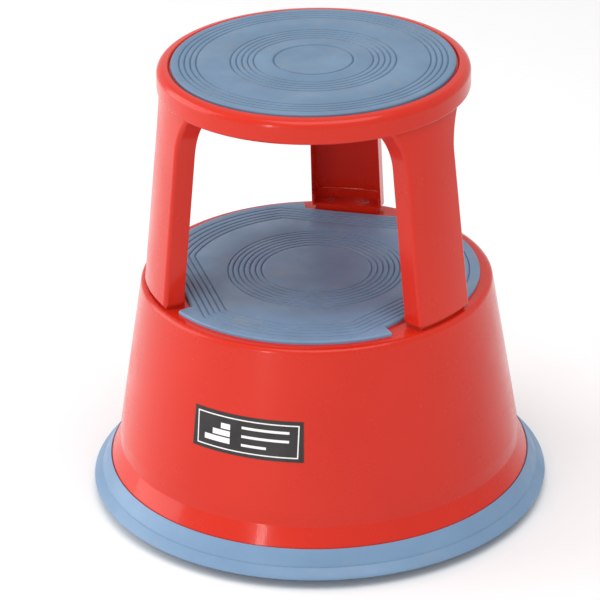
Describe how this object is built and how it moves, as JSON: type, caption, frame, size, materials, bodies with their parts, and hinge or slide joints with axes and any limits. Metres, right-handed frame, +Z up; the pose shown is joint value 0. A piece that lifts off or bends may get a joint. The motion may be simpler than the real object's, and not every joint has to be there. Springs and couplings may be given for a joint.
{
  "type": "kick step stool",
  "caption": "Round rolling kick stool: a top step on channel legs over a conical drum step, with a bumper ring and sprung castors.",
  "frame": {"origin": "on the stool's axis at floor level, under the sprung-out castors", "axes": "+Z up along the stool's axis, -Y towards the front, where the label is to the left"},
  "size_m": [0.4339, 0.434, 0.43],
  "materials": {
    "red_paint": "gloss",
    "tread_rubber": "matt",
    "ring_rubber": "satin",
    "zinc_steel": "zinc plated",
    "spring_steel": "oiled",
    "castor_plastic": "moulded",
    "castor_tyre": "matt",
    "label_film": "printed film"
  },
  "bodies": {
    "stool": {"upper_step_shell": "red_paint", "lower_step_drum": "red_paint", "foot_plate_right": "red_paint", "foot_plate_back": "red_paint", "foot_plate_left": "red_paint", "upper_tread_mat": "tread_rubber", "lower_tread_mat": "tread_rubber", "base_bumper_ring": "ring_rubber", "foot_bolts": "zinc_steel", "foot_washers": "zinc_steel", "cup_screws": "zinc_steel", "cup_nuts": "zinc_steel", "front_label": "label_film", "castor_carrier": "zinc_steel", "castor_cup_right": "zinc_steel", "castor_cup_back": "zinc_steel", "castor_cup_left": "zinc_steel", "castor_spring_right": "spring_steel", "castor_spring_back": "spring_steel", "castor_spring_left": "spring_steel"},
    "plunger_right": {"castor_plunger_right": "zinc_steel", "castor_clip_right": "spring_steel", "castor_thrust_washer_right": "castor_plastic"},
    "swivel_right": {"castor_kingpin_right": "zinc_steel", "castor_hood_right": "castor_plastic", "castor_axle_right": "zinc_steel"},
    "wheel_a_right": {"castor_wheel_a_right": "castor_plastic", "castor_tyre_a_right": "castor_tyre"},
    "wheel_b_right": {"castor_wheel_b_right": "castor_plastic", "castor_tyre_b_right": "castor_tyre"},
    "plunger_back": {"castor_plunger_back": "zinc_steel", "castor_clip_back": "spring_steel", "castor_thrust_washer_back": "castor_plastic"},
    "swivel_back": {"castor_kingpin_back": "zinc_steel", "castor_hood_back": "castor_plastic", "castor_axle_back": "zinc_steel"},
    "wheel_a_back": {"castor_wheel_a_back": "castor_plastic", "castor_tyre_a_back": "castor_tyre"},
    "wheel_b_back": {"castor_wheel_b_back": "castor_plastic", "castor_tyre_b_back": "castor_tyre"},
    "plunger_left": {"castor_plunger_left": "zinc_steel", "castor_clip_left": "spring_steel", "castor_thrust_washer_left": "castor_plastic"},
    "swivel_left": {"castor_kingpin_left": "zinc_steel", "castor_hood_left": "castor_plastic", "castor_axle_left": "zinc_steel"},
    "wheel_a_left": {"castor_wheel_a_left": "castor_plastic", "castor_tyre_a_left": "castor_tyre"},
    "wheel_b_left": {"castor_wheel_b_left": "castor_plastic", "castor_tyre_b_left": "castor_tyre"}
  },
  "joints": [
    {"name": "castor_right_retract", "type": "slide", "parent": "stool", "child": "plunger_right", "axis": [0, 0, 1], "range_m": [0, 0.012], "stiffness_N_per_m": 3000, "springref_m": -0.015, "deforming": ["castor_spring_right"]},
    {"name": "castor_right_swivel", "type": "hinge", "parent": "plunger_right", "child": "swivel_right", "pos_m": [0.09953, -0.0912, 0.05], "axis": [0, 0, 1], "continuous": true},
    {"name": "castor_right_wheel_a", "type": "hinge", "parent": "swivel_right", "child": "wheel_a_right", "pos_m": [0.08153, -0.0912, 0.02], "axis": [0, 1, 0], "continuous": true},
    {"name": "castor_right_wheel_b", "type": "hinge", "parent": "swivel_right", "child": "wheel_b_right", "pos_m": [0.08153, -0.0912, 0.02], "axis": [0, 1, 0], "continuous": true},
    {"name": "castor_back_retract", "type": "slide", "parent": "stool", "child": "plunger_back", "axis": [0, 0, 1], "range_m": [0, 0.012], "stiffness_N_per_m": 3000, "springref_m": -0.015, "deforming": ["castor_spring_back"]},
    {"name": "castor_back_swivel", "type": "hinge", "parent": "plunger_back", "child": "swivel_back", "pos_m": [0.02922, 0.1318, 0.05], "axis": [0, 0, 1], "continuous": true},
    {"name": "castor_back_wheel_a", "type": "hinge", "parent": "swivel_back", "child": "wheel_a_back", "pos_m": [0.01122, 0.1318, 0.02], "axis": [0, 1, 0], "continuous": true},
    {"name": "castor_back_wheel_b", "type": "hinge", "parent": "swivel_back", "child": "wheel_b_back", "pos_m": [0.01122, 0.1318, 0.02], "axis": [0, 1, 0], "continuous": true},
    {"name": "castor_left_retract", "type": "slide", "parent": "stool", "child": "plunger_left", "axis": [0, 0, 1], "range_m": [0, 0.012], "stiffness_N_per_m": 3000, "springref_m": -0.015, "deforming": ["castor_spring_left"]},
    {"name": "castor_left_swivel", "type": "hinge", "parent": "plunger_left", "child": "swivel_left", "pos_m": [-0.12875, -0.04059, 0.05], "axis": [0, 0, 1], "continuous": true},
    {"name": "castor_left_wheel_a", "type": "hinge", "parent": "swivel_left", "child": "wheel_a_left", "pos_m": [-0.14675, -0.04059, 0.02], "axis": [0, 1, 0], "continuous": true},
    {"name": "castor_left_wheel_b", "type": "hinge", "parent": "swivel_left", "child": "wheel_b_left", "pos_m": [-0.14675, -0.04059, 0.02], "axis": [0, 1, 0], "continuous": true}
  ]
}
